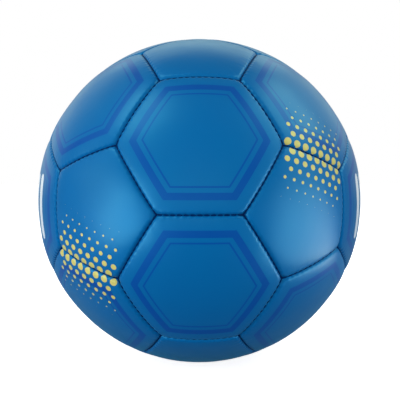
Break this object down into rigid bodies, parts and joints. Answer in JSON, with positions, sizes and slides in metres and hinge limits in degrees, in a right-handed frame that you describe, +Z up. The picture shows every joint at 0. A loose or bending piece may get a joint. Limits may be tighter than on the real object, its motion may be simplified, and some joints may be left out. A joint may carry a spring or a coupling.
{
  "type": "handball",
  "caption": "Hand-stitched inflatable ball of sewn pentagon and hexagon panels, padded and lined, round a latex bladder with a needle valve whose core pulls out.",
  "frame": {"origin": "centre of the ball", "axes": "+Z up, -Y towards the picture's viewer, +X to the viewer's right; each of the three axes passes through the middle of a seam between two hexagons"},
  "size_m": [0.1874, 0.1874, 0.1874],
  "materials": {
    "pentagon_cover": "satin",
    "hexagon_cover": "satin",
    "seam_thread": "waxed polyester",
    "foam": "soft latex foam",
    "lining": "woven cotton and polyester plies",
    "latex": "matte",
    "patch_rubber": "matte",
    "valve_rubber": "matte",
    "valve_core_rubber": "satin"
  },
  "bodies": {
    "ball": {"pentagon_panel_01": "pentagon_cover", "pentagon_panel_02": "pentagon_cover", "pentagon_panel_03": "pentagon_cover", "pentagon_panel_04": "pentagon_cover", "pentagon_panel_05": "pentagon_cover", "pentagon_panel_06": "pentagon_cover", "pentagon_panel_07": "pentagon_cover", "pentagon_panel_08": "pentagon_cover", "pentagon_panel_09": "pentagon_cover", "pentagon_panel_10": "pentagon_cover", "pentagon_panel_11": "pentagon_cover", "pentagon_panel_12": "pentagon_cover", "hexagon_panel_01": "hexagon_cover", "hexagon_panel_02": "hexagon_cover", "hexagon_panel_03": "hexagon_cover", "hexagon_panel_04": "hexagon_cover", "hexagon_panel_05": "hexagon_cover", "hexagon_panel_06": "hexagon_cover", "hexagon_panel_07": "hexagon_cover", "hexagon_panel_08": "hexagon_cover", "hexagon_panel_09": "hexagon_cover", "hexagon_panel_10": "hexagon_cover", "hexagon_panel_11": "hexagon_cover", "hexagon_panel_12": "hexagon_cover", "hexagon_panel_13": "hexagon_cover", "hexagon_panel_14": "hexagon_cover", "hexagon_panel_15": "hexagon_cover", "hexagon_panel_16": "hexagon_cover", "hexagon_panel_17": "hexagon_cover", "hexagon_panel_18": "hexagon_cover", "hexagon_panel_19": "hexagon_cover", "valve_panel": "hexagon_cover", "pentagon_foams": "foam", "hexagon_foams": "foam", "pentagon_linings": "lining", "hexagon_linings": "lining", "pentagon_seam_threads": "seam_thread", "hexagon_seam_threads": "seam_thread", "bladder": "latex", "valve_patch": "patch_rubber", "balance_patch": "patch_rubber", "valve_housing": "valve_rubber"},
    "valve_core": {"valve_core": "valve_core_rubber"}
  },
  "joints": [
    {"name": "valve_core_pull", "type": "slide", "parent": "ball", "child": "valve_core", "axis": [0, 0.9342, 0.3568], "range_m": [0, 0.02]}
  ]
}
